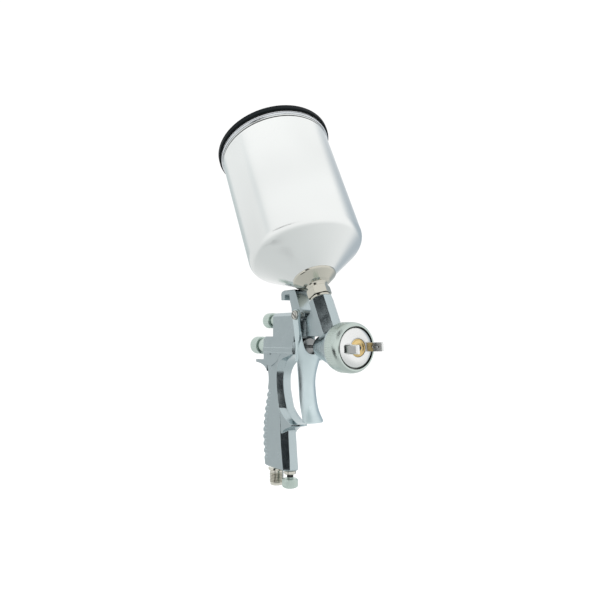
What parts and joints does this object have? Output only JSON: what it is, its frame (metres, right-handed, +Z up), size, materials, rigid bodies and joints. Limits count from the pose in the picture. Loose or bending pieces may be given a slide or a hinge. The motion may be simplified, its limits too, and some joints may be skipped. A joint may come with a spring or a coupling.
{
  "type": "gravity-feed spray gun",
  "caption": "Gravity-feed HVLP spray gun: satin forged body with hanging hook and pull trigger, horned air cap in a threaded ring, rear control knobs, and a leaning lidded aluminium paint cup.",
  "frame": {"origin": "on the fluid axis, where it crosses the front plane of the air cap retaining ring", "axes": "+X spray direction, +Y the left side of the gun, +Z up; the cup leans back towards -X"},
  "size_m": [0.1858, 0.1054, 0.3354],
  "materials": {
    "body_satin": "satin, nickel plated",
    "trigger_satin": "satin chrome",
    "pivot_steel": "turned",
    "cup_aluminium": "polished",
    "nickel": "nickel plated, polished",
    "ring_satin": "satin anodised",
    "knob_satin": "satin anodised",
    "cap_silver": "polished",
    "brass": "polished",
    "steel": "ground",
    "spring_steel": "drawn wire",
    "lid_plastic": "moulded",
    "seal_plastic": "moulded",
    "seal_rubber": "moulded"
  },
  "bodies": {
    "gun": {"gun_body": "body_satin", "trigger_pivot_stud": "pivot_steel", "trigger_pivot_screw": "pivot_steel", "needle_packing": "seal_plastic", "packing_nut": "steel", "fluid_nozzle": "steel", "head_gasket": "seal_plastic", "air_baffle": "steel", "air_valve_bushing": "steel", "air_valve_seal": "seal_plastic", "air_valve_spring": "spring_steel", "fluid_bushing": "knob_satin", "needle_spring": "spring_steel", "fan_bushing": "knob_satin", "air_inlet_fitting": "nickel", "inlet_seal": "seal_plastic", "regulator_bushing": "nickel", "neck_adapter": "nickel"},
    "trigger": {"trigger": "trigger_satin"},
    "needle": {"fluid_needle": "steel"},
    "air_valve": {"air_valve_stem": "steel", "air_valve_poppet": "seal_plastic"},
    "fluid_knob_carrier": {"fluid_knob_seal": "seal_rubber"},
    "fluid_knob": {"fluid_knob": "knob_satin"},
    "fan_knob_carrier": {"fan_knob_seal": "seal_rubber"},
    "fan_knob": {"fan_knob": "knob_satin", "fan_stem": "steel"},
    "regulator_carrier": {"regulator_seal": "seal_rubber"},
    "regulator_knob": {"regulator_knob": "knob_satin", "regulator_stem": "steel"},
    "ring_carrier": {"cap_washer": "seal_plastic"},
    "retaining_ring": {"retaining_ring": "ring_satin"},
    "air_cap": {"air_cap": "cap_silver", "air_cap_insert": "brass"},
    "cup_carrier": {"cup_seal": "seal_plastic"},
    "cup": {"cup_coupling_nut": "nickel", "cup_collar": "nickel", "cup_strainer": "seal_plastic", "cup_shell": "cup_aluminium", "cup_rim_band": "cup_aluminium"},
    "lid": {"lid": "lid_plastic", "lid_gasket": "seal_rubber", "lid_vent_plug": "lid_plastic"}
  },
  "joints": [
    {"name": "trigger_pull", "type": "hinge", "parent": "gun", "child": "trigger", "pos_m": [-0.0637, 0, 0.0263], "axis": [0, 1, 0], "range_deg": [0, 8], "stiffness_Nm_per_rad": 2, "springref_deg": -11.46},
    {"name": "needle_slide", "type": "slide", "parent": "gun", "child": "needle", "axis": [-1, 0, 0], "range_m": [0, 0.004], "deforming": ["needle_spring"]},
    {"name": "air_valve_slide", "type": "slide", "parent": "gun", "child": "air_valve", "axis": [-1, 0, 0], "range_m": [0, 0.004], "deforming": ["air_valve_spring"]},
    {"name": "fluid_knob_travel", "type": "slide", "parent": "gun", "child": "fluid_knob_carrier", "axis": [-1, 0, 0], "range_m": [0, 0.00301]},
    {"name": "fluid_knob_turn", "type": "hinge", "parent": "fluid_knob_carrier", "child": "fluid_knob", "pos_m": [-0.15, 0, 0], "axis": [-1, 0, 0], "range_deg": [0, 1080]},
    {"name": "fan_knob_travel", "type": "slide", "parent": "gun", "child": "fan_knob_carrier", "axis": [-1, 0, 0], "range_m": [0, 0.00201]},
    {"name": "fan_knob_turn", "type": "hinge", "parent": "fan_knob_carrier", "child": "fan_knob", "pos_m": [-0.13, 0, 0.023], "axis": [-1, 0, 0], "range_deg": [0, 900]},
    {"name": "regulator_travel", "type": "slide", "parent": "gun", "child": "regulator_carrier", "axis": [0, 0, -1], "range_m": [0, 0.00226]},
    {"name": "regulator_turn", "type": "hinge", "parent": "regulator_carrier", "child": "regulator_knob", "pos_m": [-0.093, 0, -0.118], "axis": [0, 0, -1], "range_deg": [0, 1080]},
    {"name": "ring_travel", "type": "slide", "parent": "gun", "child": "ring_carrier", "axis": [1, 0, 0], "range_m": [0, 0.00601]},
    {"name": "ring_turn", "type": "hinge", "parent": "ring_carrier", "child": "retaining_ring", "pos_m": [-0.01, 0, 0], "axis": [1, 0, 0], "range_deg": [0, 1440]},
    {"name": "cup_travel", "type": "slide", "parent": "gun", "child": "cup_carrier", "axis": [-0.4628, 0, 0.8864], "range_m": [0, 0.00751]},
    {"name": "cup_turn", "type": "hinge", "parent": "cup_carrier", "child": "cup", "pos_m": [-0.0253, 0, 0], "axis": [-0.4628, 0, 0.8864], "range_deg": [0, 1800]},
    {"name": "air_cap_turn", "type": "hinge", "parent": "ring_carrier", "child": "air_cap", "pos_m": [0, 0, 0], "axis": [1, 0, 0], "range_deg": [-90, 90]},
    {"name": "lid_lift", "type": "slide", "parent": "cup", "child": "lid", "axis": [-0.4628, 0, 0.8864], "range_m": [0, 0.03]}
  ],
  "couplings": [
    {"joint": "needle_slide", "follows": "trigger_pull", "m_per_rad": 0.0263},
    {"joint": "air_valve_slide", "follows": "trigger_pull", "m_per_rad": 0.0263},
    {"joint": "fluid_knob_travel", "follows": "fluid_knob_turn", "m_per_rad": 0.00015915},
    {"joint": "fan_knob_travel", "follows": "fan_knob_turn", "m_per_rad": 0.00012732},
    {"joint": "regulator_travel", "follows": "regulator_turn", "m_per_rad": 0.00011937},
    {"joint": "ring_travel", "follows": "ring_turn", "m_per_rad": 0.00023873},
    {"joint": "cup_travel", "follows": "cup_turn", "m_per_rad": 0.00023873}
  ]
}
